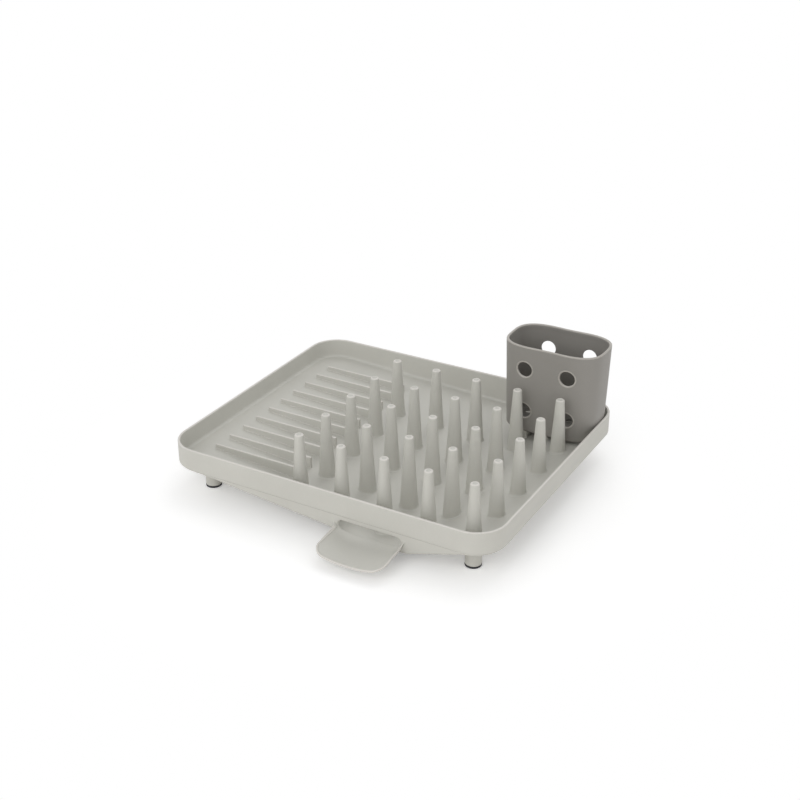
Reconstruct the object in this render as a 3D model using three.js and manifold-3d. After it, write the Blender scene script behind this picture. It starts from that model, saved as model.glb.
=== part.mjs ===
// Compact dish rack in millimetres, Z up, standing on the plane z = 0.
// A moulded draining tray with plate prongs, glass ribs and a pouring spout stands on four padded legs.
// A waisted cutlery holder stands loose in its rear right corner.
import * as THREE from 'three';
import { mergeVertices } from 'three/addons/utils/BufferGeometryUtils.js';
import Module from 'manifold-3d';

// Tray outline and rim band
const trayWidth = 365;
const trayDepth = 305;
const cornerRadius = 32;
const rimTop = 54.7;
const bandBottom = 31.7;
const bandEase = 0.4;
const wall = 2.6;
const rimRound = 1;
const baseInset = 0.8;
const baseEdgeRadius = 3.5;

// Floor: a level margin, and a lopsided valley that deepens towards the spout
const floorMargin = 33.4;
const floorThickness = 2.5;
const floorCove = 3.4;
const valleyFrontHeight = 12.4;
const valleyRearHeight = 23.6;
const valleyFrontLeft = 18.8;
const valleyFrontRight = 93.8;
const valleyRearLeft = 62;
const valleyRearRight = 92.5;
const valleyLeftEdge = 22.5;
const valleyRightEdge = 29;
const shoulderRun = 8;
const shoulderRise = 4.6;
const shoulderRearRise = 1.2;

// Spout, a dished scoop in front of a mouth in the sump face
const spoutFromRight = 127.9;
const spoutHalfWidth = 37.2;
const spoutReach = 41.3;
const spoutBulge = 3.3;
const spoutCorner = 12;
const spoutSheet = 2.2;
const spoutRoot = 7;
const spoutTipHeight = 11.1;
const spoutSideRise = 6.2;
const spoutTipSideRise = 3.3;
const spoutCurlPower = 2.8;
const beadRise = 0.9;
const beadWidth = 2.2;
const beadRootWidth = 3.4;
const mouthTop = 26.2;
const mouthCorner = 5;

// Legs and pads
const legInsetX = 33.5;
const legInsetY = 32.2;
const legFootRadius = 8;
const legDraft = 0.02;
const padThickness = 2;
const padRadius = 8.2;
const padEase = 0.4;
const plugRadius = 4.5;
const plugLength = 3;
const seatGap = 0.3;

// Plate prongs
const prongColumns = 5;
const prongPitchY = 47.6;
const prongFromRight = 30.5;
const prongFromFront = 25.3;
const prongTop = 91.5;
const prongTipRadius = 4.5;
const prongTipRound = 1.6;
const prongDraft = 0.062;

// Glass ribs
const ribTop = 37.8;
const ribFootThickness = 2.6;
const ribDraft = 0.02;
const ribCrown = 0.5;
const ribFromLeft = 26.5;
const ribToProng = 18.9;
const ribLengthShare = 0.276;
const ribRearMargin = 30;

// Cutlery holder
const holderHalfLength = 50.2;
const holderHalfDepth = 30.8;
const holderWaist = 1.9;
const holderWaistReach = 0.45;
const holderSquareness = 3.25;
const holderBase = 36;
const holderTop = 134;
const holderDraft = 0.029;
const holderWall = 2.2;
const holderFloor = 2.2;
const holderEdgeRadius = 3;
const holderRimRound = 0.8;
const holderSideGap = 0.5;
const holderRearGap = 10.4;
const dripHoleRadius = 8;
const dripHoleBevel = 1.5;
const dripHoleBevelDepth = 1.1;
const dripHoleSpacing = 46.8;
const dripHoleRiseShares = [0.257, 0.738];
const drainHoleRadius = 4;
const drainHoleOffset = 13;

// Low ribs that hold the cutlery holder level over the sloping floor
const restPitch = 23.5;
const restThickness = 2.6;
const restHalfLength = 20;
const restCount = 3;

// Facets and overrun of cutting shapes
const cornerSteps = 8;
const edgeSteps = 3;
const prongSides = 16;
const legSides = 24;
const holeSides = 20;
const holderSides = 48;
const overrun = 1;
const tallCut = 60;

// Places that follow from the sizes above
const trayLength = trayDepth + spoutReach + spoutBulge - baseInset;
const trayRear = trayLength / 2;
const trayFront = trayRear - trayDepth;
const trayCentreY = (trayFront + trayRear) / 2;
const trayLeft = -trayWidth / 2;
const trayRight = trayWidth / 2;
const spoutX = trayRight - spoutFromRight;
const ribLength = trayWidth * ribLengthShare;
const ribLeft = trayLeft + ribFromLeft;
const prongFirstX = ribLeft + ribLength + ribToProng;
const prongPitchX = (trayRight - prongFromRight - prongFirstX) / (prongColumns - 1);
const prongFirstY = trayFront + prongFromFront;
const holderRimSwell = (rimTop - holderBase) * holderDraft;
const holderX = trayRight - wall - holderSideGap - holderHalfLength - holderRimSwell;
const holderY = trayRear - wall - holderRearGap - holderHalfDepth - holderRimSwell;

const wasm = await Module();
wasm.setup();

function enclosedVolume(points, index) {
  const corners = index.map((k) => new THREE.Vector3().fromBufferAttribute(points, k));
  let sum = 0;
  for (let k = 0; k < corners.length; k += 3) {
    sum += corners[k].dot(new THREE.Vector3().crossVectors(corners[k + 1], corners[k + 2]));
  }
  return sum / 6;
}

// Geometry with shared corners, no collapsed triangles and its faces turned outwards
function weld(geometry) {
  const bare = geometry.clone();
  bare.deleteAttribute('normal');
  bare.deleteAttribute('uv');
  const merged = mergeVertices(bare);
  const kept = [];
  const index = merged.index.array;
  for (let k = 0; k < index.length; k += 3) {
    const [a, b, c] = [index[k], index[k + 1], index[k + 2]];
    if (a !== b && b !== c && c !== a) kept.push(a, b, c);
  }
  if (enclosedVolume(merged.attributes.position, kept) < 0) kept.reverse();
  merged.setIndex(kept);
  return merged;
}

function toSolid(geometry) {
  const welded = weld(geometry);
  return new wasm.Manifold(new wasm.Mesh({
    numProp: 3,
    vertProperties: new Float32Array(welded.attributes.position.array),
    triVerts: new Uint32Array(welded.index.array),
  }));
}

function toGeometry(body) {
  const mesh = body.getMesh();
  const geometry = new THREE.BufferGeometry();
  geometry.setAttribute('position', new THREE.BufferAttribute(mesh.vertProperties, 3));
  geometry.setIndex(new THREE.BufferAttribute(mesh.triVerts, 1));
  return geometry;
}

// Skin through a row of closed rings with equal, even counts; each end is closed by a strip across its ring
function loft(rings) {
  const count = rings[0].length;
  const index = [];
  for (let j = 0; j + 1 < rings.length; j++) {
    for (let i = 0; i < count; i++) {
      const [a, b] = [j * count + i, j * count + (i + 1) % count];
      index.push(a, b, b + count, a, b + count, a + count);
    }
  }
  const last = (rings.length - 1) * count;
  for (let i = 0; i + 1 < count / 2; i++) {
    const [p, q, r, s] = [i, i + 1, count - 2 - i, count - 1 - i];
    index.push(q, p, s, q, s, r);
    index.push(last + p, last + q, last + s, last + q, last + r, last + s);
  }
  const geometry = new THREE.BufferGeometry().setFromPoints(rings.flat());
  geometry.setIndex(index);
  return geometry;
}

function quarterTurns(steps) {
  return Array.from({ length: steps + 1 }, (_, k) => (k / steps) * Math.PI / 2);
}

// Rounded rectangle of the tray seen from above, drawn in by an inset
function trayRing(inset, z) {
  const radius = cornerRadius - inset;
  const corners = [[1, 1], [-1, 1], [-1, -1], [1, -1]];
  return corners.flatMap(([sideX, sideY], quarter) => quarterTurns(cornerSteps).map((turn) => {
    const angle = turn + quarter * Math.PI / 2;
    return new THREE.Vector3(
      sideX * (trayWidth / 2 - cornerRadius) + radius * Math.cos(angle),
      trayCentreY + sideY * (trayDepth / 2 - cornerRadius) + radius * Math.sin(angle),
      z);
  }));
}

// Breaks of the floor across the tray, from its left margin to its right margin
function floorBreaks(y) {
  const along = THREE.MathUtils.clamp((y - trayFront - wall) / (trayDepth - 2 * wall), 0, 1);
  const mix = (front, rear) => THREE.MathUtils.lerp(front, rear, along);
  const valley = mix(valleyFrontHeight, valleyRearHeight);
  const valleyLeft = mix(valleyFrontLeft, valleyRearLeft);
  return [
    [trayLeft + valleyLeftEdge, floorMargin],
    [valleyLeft - shoulderRun, valley + mix(shoulderRise, shoulderRearRise)],
    [valleyLeft, valley],
    [mix(valleyFrontRight, valleyRearRight), valley],
    [trayRight - valleyRightEdge, floorMargin],
  ];
}

function floorHeight(x, y) {
  const breaks = floorBreaks(y);
  if (x <= breaks[0][0]) return floorMargin;
  for (let k = 1; k < breaks.length; k++) {
    const [[x0, z0], [x1, z1]] = [breaks[k - 1], breaks[k]];
    if (x <= x1) return THREE.MathUtils.mapLinear(x, x0, x1, z0, z1);
  }
  return floorMargin;
}

// How far a rounded lower edge lifts a point near the outline
function edgeLift(x, y, inset, edgeRadius) {
  const radius = cornerRadius - inset;
  const pastX = Math.abs(x) - (trayWidth / 2 - cornerRadius);
  const pastY = Math.abs(y - trayCentreY) - (trayDepth / 2 - cornerRadius);
  const outside = Math.hypot(Math.max(pastX, 0), Math.max(pastY, 0)) + Math.min(Math.max(pastX, pastY), 0);
  const depth = Math.max(radius - outside, 0);
  if (depth >= edgeRadius) return 0;
  return edgeRadius - Math.sqrt(edgeRadius ** 2 - (edgeRadius - depth) ** 2);
}

// Closed body over the tray's plan: its underside follows the floor at a lift, its top is level
function basin(inset, edgeRadius, lift, top) {
  const radius = cornerRadius - inset;
  const front = trayFront + inset;
  const rear = trayRear - inset;
  const edge = quarterTurns(edgeSteps).map((turn) => edgeRadius * (1 - Math.cos(turn)));
  const corner = quarterTurns(cornerSteps).map((turn) => radius * (1 - Math.cos(turn)));
  const steps = [...edge, ...corner.filter((d) => d > edgeRadius * 1.5)];
  const rows = [...steps.map((d) => [front + d, d]), ...steps.map((d) => [rear - d, d]).reverse()];
  const rings = rows.map(([y, d]) => {
    const half = trayWidth / 2 - cornerRadius + Math.sqrt(radius ** 2 - Math.max(radius - d, 0) ** 2);
    const breaks = floorBreaks(y);
    const least = edgeRadius / breaks.length;
    const inner = breaks.map(([x], k) => THREE.MathUtils.clamp(
      x,
      -half + edgeRadius + (k + 1) * least,
      half - edgeRadius - (breaks.length - k) * least));
    const across = [...edge.map((e) => e - half), ...inner, ...edge.map((e) => half - e).reverse()];
    const underside = across.map((x) => new THREE.Vector3(
      x, y, floorHeight(x, y) + lift + edgeLift(x, y, inset, edgeRadius)));
    const upper = underside.map((p) => p.clone().setZ(top)).reverse();
    return [...underside, ...upper];
  });
  return loft(rings);
}

// Rim band: eased below, rounded above
function bandBody() {
  const crown = quarterTurns(edgeSteps).map((turn) => trayRing(
    rimRound * (1 - Math.cos(turn)), rimTop - rimRound * (1 - Math.sin(turn))));
  return loft([trayRing(bandEase, bandBottom), trayRing(0, bandBottom + bandEase), ...crown]);
}

// Cutter that rounds the inner edge of the rim
function rimFlare() {
  const arc = quarterTurns(edgeSteps).map((turn) => trayRing(
    wall - rimRound * (1 - Math.cos(turn)), rimTop - rimRound * (1 - Math.sin(turn))));
  return loft([
    trayRing(wall, rimTop - rimRound - overrun), ...arc, trayRing(wall - rimRound, rimTop + overrun),
  ]);
}

// Bottom of the spout's dish: its sides curl up and run out towards the lip
function dishHeight(x, out) {
  const along = THREE.MathUtils.clamp(out / spoutReach, 0, 1);
  const middle = THREE.MathUtils.lerp(valleyFrontHeight, spoutTipHeight, along);
  const rise = THREE.MathUtils.lerp(spoutSideRise, spoutTipSideRise, along ** 2);
  return middle + rise * Math.abs((x - spoutX) / spoutHalfWidth) ** spoutCurlPower;
}

const dishShares = [-1, -0.97, -0.9, -0.8, -0.62, -0.35, 0, 0.35, 0.62, 0.8, 0.9, 0.97, 1];
const spoutRunShares = [0, 0.1, 0.2, 0.4, 0.7];
const spoutStraight = spoutReach - spoutCorner;

// Row of points across the spout at a distance out from the sump face, drawn in from its edge
function dishRow(out, inset, lift) {
  const radius = spoutCorner - inset;
  const past = Math.max(out - spoutStraight, 0);
  const half = spoutHalfWidth - spoutCorner + Math.sqrt(Math.max(radius ** 2 - past ** 2, 0));
  return dishShares.map((share) => {
    const x = spoutX + half * share;
    const bulge = spoutBulge * Math.max(out, 0) / spoutReach * (1 - share ** 2);
    return new THREE.Vector3(x, trayFront + baseInset - out - bulge, dishHeight(x, out) + lift);
  });
}

function spoutTurns(inset) {
  return quarterTurns(cornerSteps / 2).map((turn) => spoutStraight + (spoutCorner - inset) * Math.sin(turn));
}

// Spout sheet, as high as its bead all over, from its root under the tray floor to its rounded lip
function spoutBody() {
  const runs = [-spoutRoot, ...spoutRunShares.map((share) => spoutStraight * share), ...spoutTurns(0)];
  return loft(runs.map((out) => {
    const upper = dishRow(out, 0, beadRise);
    const lower = upper.map((p) => p.clone().setZ(p.z - spoutSheet)).reverse();
    return [...upper, ...lower];
  }));
}

// Cutter that sinks the dish inside its bead
function dishCutter() {
  const runs = [overrun, ...spoutRunShares.slice(1).map((share) => spoutStraight * share), ...spoutTurns(beadWidth)];
  return loft(runs.map((out) => {
    const along = Math.min(out / spoutStraight, 1);
    const lower = dishRow(out, THREE.MathUtils.lerp(beadRootWidth, beadWidth, along), 0);
    const upper = lower.map((p) => p.clone().setZ(mouthTop)).reverse();
    return [...lower, ...upper];
  }));
}

// Cutter for the mouth in the sump face: upright sides and round corners above, following the dish below
function mouthCutter() {
  const sill = dishRow(0, beadRootWidth, 0);
  const half = spoutHalfWidth - beadRootWidth;
  const arch = sill.map((p) => {
    const past = Math.max(Math.abs(p.x - spoutX) - half + mouthCorner, 0);
    return p.clone().setZ(mouthTop - mouthCorner + Math.sqrt(Math.max(mouthCorner ** 2 - past ** 2, 0)));
  });
  const section = [...sill, ...arch.reverse()];
  const ends = [trayFront - overrun, trayFront + wall + floorCove];
  return loft(ends.map((y) => section.map((p) => p.clone().setY(y))));
}

// Turned body about a vertical axis, from its profile of radius and height
function turned(profile, sides) {
  const points = profile.map(([radius, height]) => new THREE.Vector2(radius, height));
  return new THREE.LatheGeometry(points, sides).rotateX(Math.PI / 2);
}

const legPlaces = [
  ['front_left', trayLeft + legInsetX, trayFront + legInsetY],
  ['front_right', trayRight - legInsetX, trayFront + legInsetY],
  ['rear_left', trayLeft + legInsetX, trayRear - legInsetY],
  ['rear_right', trayRight - legInsetX, trayRear - legInsetY],
];

// Leg with a socket for its pad; its head ends inside the floor's thickness
function legBody(x, y) {
  const head = floorHeight(x, y) - floorThickness / 2;
  const headRadius = legFootRadius + (head - padThickness) * legDraft;
  const socketTop = padThickness + plugLength + seatGap;
  const socketRadius = plugRadius + seatGap;
  return turned([
    [socketRadius, padThickness + seatGap], [legFootRadius, padThickness + seatGap], [headRadius, head],
    [0, head], [0, socketTop], [socketRadius, socketTop], [socketRadius, padThickness + seatGap],
  ], legSides).translate(x, y, 0);
}

function padBody() {
  return turned([
    [0, 0], [padRadius - padEase, 0], [padRadius, padEase], [padRadius, padThickness],
    [plugRadius, padThickness], [plugRadius, padThickness + plugLength], [0, padThickness + plugLength],
  ], legSides);
}

function trayBody() {
  const pan = basin(baseInset, baseEdgeRadius, -floorThickness, (bandBottom + rimTop) / 2);
  const cavity = basin(wall, floorCove, 0, rimTop + overrun);
  const legs = legPlaces.map(([, x, y]) => toSolid(legBody(x, y)));
  const pieces = [toSolid(pan), toSolid(spoutBody()), ...legs];
  const joined = pieces.reduce((sum, piece) => sum.add(piece), toSolid(bandBody()));
  const cuts = [cavity, rimFlare(), mouthCutter(), dishCutter()];
  return cuts.reduce((left, cut) => left.subtract(toSolid(cut)), joined);
}

// Space above the tray floor, held clear of it by the seat gap
const aboveFloor = toSolid(basin(wall, floorCove, seatGap, rimTop + tallCut));
const lowestFoot = Math.min(valleyFrontHeight, valleyRearHeight) - overrun;

function prongBody() {
  const shoulder = prongTop - prongTipRound;
  const tip = quarterTurns(edgeSteps).map((turn) => [
    prongTipRadius - prongTipRound * (1 - Math.cos(turn)), shoulder + prongTipRound * Math.sin(turn)]);
  return turned([
    [0, lowestFoot], [prongTipRadius + (shoulder - lowestFoot) * prongDraft, lowestFoot], ...tip, [0, prongTop],
  ], prongSides);
}

// Upright blade with level crown, drafted sides and a foot cut to the floor
function bladeBody(halfLength, thickness, top) {
  const half = (z) => thickness / 2 - (z - floorMargin) * ribDraft;
  const section = [
    [half(lowestFoot), lowestFoot],
    [half(top - ribCrown), top - ribCrown],
    [half(top - ribCrown) - ribCrown, top],
  ];
  return loft(section.map(([out, z]) => [[1, 1], [-1, 1], [-1, -1], [1, -1]].map(([sideX, sideY]) => (
    new THREE.Vector3(sideX * halfLength, sideY * out, z)))));
}

// Share of the holder's depth that its waist leaves at a distance along it
function waistShare(x) {
  return 1 - holderWaist / holderHalfDepth * Math.exp(-((x / (holderHalfLength * holderWaistReach)) ** 2));
}

// Waisted plan of the cutlery holder, grown or drawn in from its size at the base
function holderRing(growth, z) {
  const power = 2 / holderSquareness;
  return Array.from({ length: holderSides }, (_, k) => {
    const angle = ((k + 0.5) / holderSides) * 2 * Math.PI;
    const [c, s] = [Math.cos(angle), Math.sin(angle)];
    const x = (holderHalfLength + growth) * Math.sign(c) * Math.abs(c) ** power;
    const y = (holderHalfDepth + growth) * Math.sign(s) * Math.abs(s) ** power;
    return new THREE.Vector3(holderX + x, holderY + y * waistShare(x), z);
  });
}

// Distance of the holder's long wall from its middle plane
function holderWallOut(x, growth) {
  const round = (1 - Math.abs(x / (holderHalfLength + growth)) ** holderSquareness) ** (1 / holderSquareness);
  return (holderHalfDepth + growth) * round * waistShare(x);
}

function holderBody() {
  const swell = (z) => (z - holderBase) * holderDraft;
  const arc = quarterTurns(edgeSteps);
  const rim = holderTop - holderRimRound;
  const outside = [
    ...arc.map((turn) => holderRing(
      -holderEdgeRadius * (1 - Math.sin(turn)), holderBase + holderEdgeRadius * (1 - Math.cos(turn)))),
    ...arc.map((turn) => holderRing(
      swell(rim) - holderRimRound * (1 - Math.cos(turn)), rim + holderRimRound * Math.sin(turn))),
  ];
  const innerFloor = holderBase + holderFloor;
  const inside = [
    ...arc.map((turn) => holderRing(
      -holderWall - holderEdgeRadius * (1 - Math.sin(turn)), innerFloor + holderEdgeRadius * (1 - Math.cos(turn)))),
    holderRing(swell(holderTop + overrun) - holderWall, holderTop + overrun),
  ];
  return toSolid(loft(outside)).subtract(toSolid(loft(inside)));
}

// Cutter for one drip hole, bevelled on the outside, pointing out of the holder towards the given side
function dripHoleCutter(face, side) {
  const beyond = dripHoleRadius + dripHoleBevel * (1 + overrun / dripHoleBevelDepth);
  const profile = [
    [0, face / 2], [dripHoleRadius, face / 2], [dripHoleRadius, face - dripHoleBevelDepth],
    [beyond, face + overrun], [0, face + overrun],
  ];
  return new THREE.LatheGeometry(profile.map(([r, h]) => new THREE.Vector2(r, h)), holeSides)
    .rotateX(side > 0 ? 0 : Math.PI);
}

function cutHolder() {
  const cutters = dripHoleRiseShares.flatMap((share) => {
    const rise = (holderTop - holderBase) * share;
    const face = holderWallOut(dripHoleSpacing / 2, rise * holderDraft);
    return [-1, 1].flatMap((side) => [-1, 1].map((across) => dripHoleCutter(face, side).translate(
      holderX + across * dripHoleSpacing / 2, holderY, holderBase + rise)));
  });
  const body = cutters.reduce((left, cutter) => left.subtract(toSolid(cutter)), holderBody());
  const drain = new THREE.CylinderGeometry(
    drainHoleRadius, drainHoleRadius, holderFloor + 2 * overrun, holeSides).rotateX(Math.PI / 2);
  const drains = [-3, -1, 1, 3].flatMap((halves) => [-1, 1].map((side) => drain.clone().translate(
    holderX + halves * restPitch / 2, holderY + side * drainHoleOffset, holderBase + holderFloor / 2)));
  return drains.reduce((left, cutter) => left.subtract(toSolid(cutter)), body);
}

const trayPlastic = new THREE.MeshStandardMaterial({ color: 0xc4c1bc, roughness: 0.55, metalness: 0 });
const holderPlastic = new THREE.MeshStandardMaterial({ color: 0x8f8b85, roughness: 0.6, metalness: 0 });
const padRubber = new THREE.MeshStandardMaterial({ color: 0x2b2c31, roughness: 0.8, metalness: 0 });

const rack = new THREE.Group();

function place(name, geometry, material) {
  const mesh = new THREE.Mesh(geometry, material);
  mesh.name = name;
  rack.add(mesh);
  return mesh;
}

place('tray', toGeometry(trayBody()), trayPlastic);

legPlaces.forEach(([name, x, y]) => {
  place(`foot_pad_${name}`, weld(padBody()), padRubber).position.set(x, y, 0);
});

const holderFront = holderY - holderHalfDepth - holderRimSwell;
const prongReach = prongTipRadius + (prongTop - floorMargin) * prongDraft;
const prongRows = 1 + Math.floor((holderFront - prongReach - prongFirstY) / prongPitchY);
const prong = toSolid(prongBody());
for (let row = 0; row < prongRows; row++) {
  for (let column = 0; column < prongColumns; column++) {
    const [x, y] = [prongFirstX + column * prongPitchX, prongFirstY + row * prongPitchY];
    const standing = prong.translate([x, y, 0]).intersect(aboveFloor);
    place(`prong_row${row + 1}_${column + 1}`, toGeometry(standing), trayPlastic);
  }
}

const ribPitch = prongPitchY / 2;
const ribCount = Math.floor((trayRear - wall - ribRearMargin - prongFirstY) / ribPitch);
const rib = toSolid(bladeBody(ribLength / 2, ribFootThickness, ribTop));
for (let k = 1; k <= ribCount; k++) {
  const standing = rib.translate([ribLeft + ribLength / 2, prongFirstY + k * ribPitch, 0]).intersect(aboveFloor);
  place(`glass_rib_${k}`, toGeometry(standing), trayPlastic);
}

const rest = toSolid(bladeBody(restHalfLength, restThickness, holderBase - seatGap).rotateZ(Math.PI / 2));
for (let k = 0; k < restCount; k++) {
  const x = holderX + (k - (restCount - 1) / 2) * restPitch;
  place(`holder_rest_${k + 1}`, toGeometry(rest.translate([x, holderY, 0]).intersect(aboveFloor)), trayPlastic);
}

place('cutlery_holder', toGeometry(cutHolder()), holderPlastic);

export default rack;
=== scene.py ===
import math

import bmesh
import bpy
import numpy as np
from mathutils import Matrix, Vector


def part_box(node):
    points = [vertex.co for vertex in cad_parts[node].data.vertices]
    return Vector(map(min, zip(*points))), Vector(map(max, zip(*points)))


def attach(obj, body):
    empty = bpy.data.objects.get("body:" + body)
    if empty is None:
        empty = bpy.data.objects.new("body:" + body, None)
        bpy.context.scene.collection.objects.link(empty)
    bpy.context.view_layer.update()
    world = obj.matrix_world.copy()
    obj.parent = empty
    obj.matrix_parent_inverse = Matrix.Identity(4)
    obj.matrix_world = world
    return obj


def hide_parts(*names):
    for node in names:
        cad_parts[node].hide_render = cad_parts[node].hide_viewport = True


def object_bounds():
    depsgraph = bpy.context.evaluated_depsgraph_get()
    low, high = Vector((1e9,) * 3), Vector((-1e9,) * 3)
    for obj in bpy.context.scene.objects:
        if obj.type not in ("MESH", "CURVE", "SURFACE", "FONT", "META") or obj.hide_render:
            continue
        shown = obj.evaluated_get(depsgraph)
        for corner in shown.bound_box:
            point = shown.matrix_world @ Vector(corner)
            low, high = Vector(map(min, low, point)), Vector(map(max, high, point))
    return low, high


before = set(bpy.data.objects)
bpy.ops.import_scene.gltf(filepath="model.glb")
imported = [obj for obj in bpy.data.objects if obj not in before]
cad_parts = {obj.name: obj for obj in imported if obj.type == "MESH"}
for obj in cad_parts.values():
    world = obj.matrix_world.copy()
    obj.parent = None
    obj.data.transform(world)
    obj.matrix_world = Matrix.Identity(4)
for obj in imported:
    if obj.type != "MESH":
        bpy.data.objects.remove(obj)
cad_low, cad_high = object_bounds()

# Tray. One injection moulding in pale warm grey plastic: an upright rim band around a floor that falls
# in a lopsided V towards the front, with the sump face closing the V below the band.
# The mould draws straight up, so its edges are rounded and the inner corner is a soft cove.
tray_width = 0.365
tray_depth = 0.305
corner_radius = 0.032
rim_top = 0.0547
band_bottom = 0.0317
band_ease = 0.0005
wall = 0.0026
rim_round = 0.001
pan_inset = 0.0008
pan_edge_radius = 0.0035
floor_thickness = 0.0025
floor_cove = 0.0034
tray_rear = cad_high.y
tray_front = tray_rear - tray_depth
tray_right = tray_width / 2

seam_height = 0.0006
floor_margin = 0.0334
valley_front = 0.0124
valley_front_lift = 0.0046
valley_rear = 0.0236
valley_rear_lift = 0.0012
crease_soften = 0.0035
crease_samples = 9
crease_front_x = (-0.16, 0.0108, 0.0188, 0.0938, 0.1535)
crease_rear_x = (-0.16, 0.054, 0.062, 0.0925, 0.1535)
crease_front_z = (floor_margin, valley_front + valley_front_lift, valley_front, valley_front, floor_margin)
crease_rear_z = (floor_margin, valley_rear + valley_rear_lift, valley_rear, valley_rear, floor_margin)
flank_start = crease_front_x[3]
flank_fullness = 0.0024
flank_width = 0.05
flank_depth = 0.03


def share_back(y):
    """0 at the front of the floor and 1 at its rear."""
    return np.clip((y - tray_front - wall) / (tray_depth - 2 * wall), 0, 1)


def floor_height(x, y):
    """Top of the tray floor, with its creases rounded over."""
    back = share_back(y)
    breaks = [front * (1 - back) + rear * back for front, rear in zip(crease_front_x, crease_rear_x)]
    levels = [front * (1 - back) + rear * back for front, rear in zip(crease_front_z, crease_rear_z)]
    total = 0
    shifts = np.linspace(-crease_soften, crease_soften, crease_samples)
    for shift in shifts:
        at = x + shift
        z = np.full_like(at, floor_margin)
        for (x0, z0), (x1, z1) in zip(zip(breaks, levels), zip(breaks[1:], levels[1:])):
            along = (at - x0) / (x1 - x0)
            z = np.where((along >= 0) & (along <= 1), z0 + (z1 - z0) * along, z)
        total = total + z
    return total / len(shifts)


def underside_height(x, y):
    """Underside of the floor, which is a little fuller along the front of its right flank."""
    across = np.clip((x - flank_start) / flank_width, 0, 1)
    back = np.clip((y - tray_front) / flank_depth, 0, 1)
    return floor_height(x, y) - floor_thickness - flank_fullness * across * (1 - back)


corner_steps = 20
rear_steps = 24
crease_step_shares = (-1, -0.5, 0, 0.5, 1)
straight_half = tray_width / 2 - corner_radius
column_creases = list(zip(crease_front_x, crease_rear_x))[1:4]
columns = [(-straight_half, -straight_half), (straight_half, straight_half)]
for front_x, rear_x in column_creases:
    columns += [(front_x + crease_soften * share, rear_x + crease_soften * share)
                for share in crease_step_shares]
for (front_a, rear_a), (front_b, rear_b), parts in (
        (columns[0], column_creases[0], 10),
        (column_creases[1], column_creases[2], 5),
        (column_creases[2], columns[1], 5)):
    for k in range(1, parts):
        mix = k / parts
        columns.append((front_a + (front_b - front_a) * mix, rear_a + (rear_b - rear_a) * mix))
columns = np.array(sorted(set(columns)))
rows = np.linspace(0, 1, rear_steps + 1)
straight_front = tray_front + corner_radius
straight_rear = tray_rear - corner_radius


def column_places(y):
    """Where the columns of the mesh, which follow the creases, stand across the tray."""
    back = share_back(y)
    return columns[:, 0] * (1 - back) + columns[:, 1] * back


def plan_ring(inset):
    """Points around the tray at an inset from its outline, anticlockwise from the front left corner's end."""
    radius = corner_radius - inset
    turns = np.linspace(0, np.pi / 2, corner_steps + 1)[1:-1]
    points = [(x, straight_front - radius) for x in column_places(straight_front - radius)]
    points += [(straight_half + radius * math.sin(t), straight_front - radius * math.cos(t)) for t in turns]
    points += [(straight_half + radius, straight_front + (straight_rear - straight_front) * v) for v in rows]
    points += [(straight_half + radius * math.cos(t), straight_rear + radius * math.sin(t)) for t in turns]
    points += [(x, straight_rear + radius) for x in column_places(straight_rear + radius)[::-1]]
    points += [(-straight_half - radius * math.sin(t), straight_rear + radius * math.cos(t)) for t in turns]
    points += [(-straight_half - radius, straight_rear + (straight_front - straight_rear) * v) for v in rows]
    points += [(-straight_half - radius * math.cos(t), straight_front - radius * math.sin(t)) for t in turns]
    return np.array(points)


def ring_faces(first, second, count):
    """Faces between two rings of points, from the place of each ring's first point."""
    return [(first + i, first + (i + 1) % count, second + (i + 1) % count, second + i)
            for i in range(count)]


def tidy_faces(faces):
    """Drops repeated corners, which turns the squares at a point into triangles."""
    kept = []
    for face in faces:
        short = [v for k, v in enumerate(face) if v != face[k - 1]]
        if len(set(short)) > 2:
            kept.append(tuple(short))
    return kept


quarter = np.linspace(0, np.pi / 2, 7)
cove_margin = 0.0012
inner_wall_shares = (0.2, 0.4, 0.6, 0.8)
band_shares = (0.3, 0.6, 0.9)
outer_wall_shares = (0, 0.35, 0.65)
floor_insets = (0.0295, 0.027, 0.0245, 0.0225, 0.0205, 0.017, 0.013, 0.009, wall + floor_cove + cove_margin)
profile = [("floor", inset, 0) for inset in floor_insets]
profile += [("floor", wall + floor_cove * (1 - math.sin(a)), floor_cove * (1 - math.cos(a)))
            for a in quarter]
profile += [("inner wall", wall, share) for share in inner_wall_shares]
profile += [("level", wall - rim_round * (1 - math.cos(a)), rim_top - rim_round * (1 - math.sin(a)))
            for a in quarter]
profile += [("level", rim_round * (1 - math.sin(a)), rim_top - rim_round * (1 - math.cos(a)))
            for a in quarter]
profile += [("level", 0, rim_top + (band_bottom - rim_top) * share) for share in band_shares]
profile += [("level", band_ease * (1 - math.cos(a)), band_bottom + band_ease * (1 - math.sin(a)))
            for a in quarter[::2]]
profile += [("level", pan_inset, band_bottom)]
profile += [("outer wall", pan_inset, share) for share in outer_wall_shares]
profile += [("under", pan_inset + pan_edge_radius * (1 - math.cos(a)), 1 - math.sin(a))
            for a in quarter]
profile += [("under", inset, 0) for inset in floor_insets[::-1]]


def profile_heights(kind, xy, value):
    """Heights of a profile's ring: a level, or a share of the way along a wall or the pan's edge."""
    floor = floor_height(xy[:, 0], xy[:, 1])
    under = underside_height(xy[:, 0], xy[:, 1])
    edge = np.minimum(pan_edge_radius, band_bottom - under - seam_height)
    seam = np.minimum(seam_height, (band_bottom - under - edge) / 2)
    if kind == "floor":
        return floor + value
    if kind == "inner wall":
        return (floor + floor_cove) * (1 - value) + (rim_top - rim_round) * value
    if kind == "outer wall":
        return (band_bottom - seam) * (1 - value) + (under + edge) * value
    if kind == "under":
        return under + edge * value
    return np.full(len(xy), value)


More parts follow.
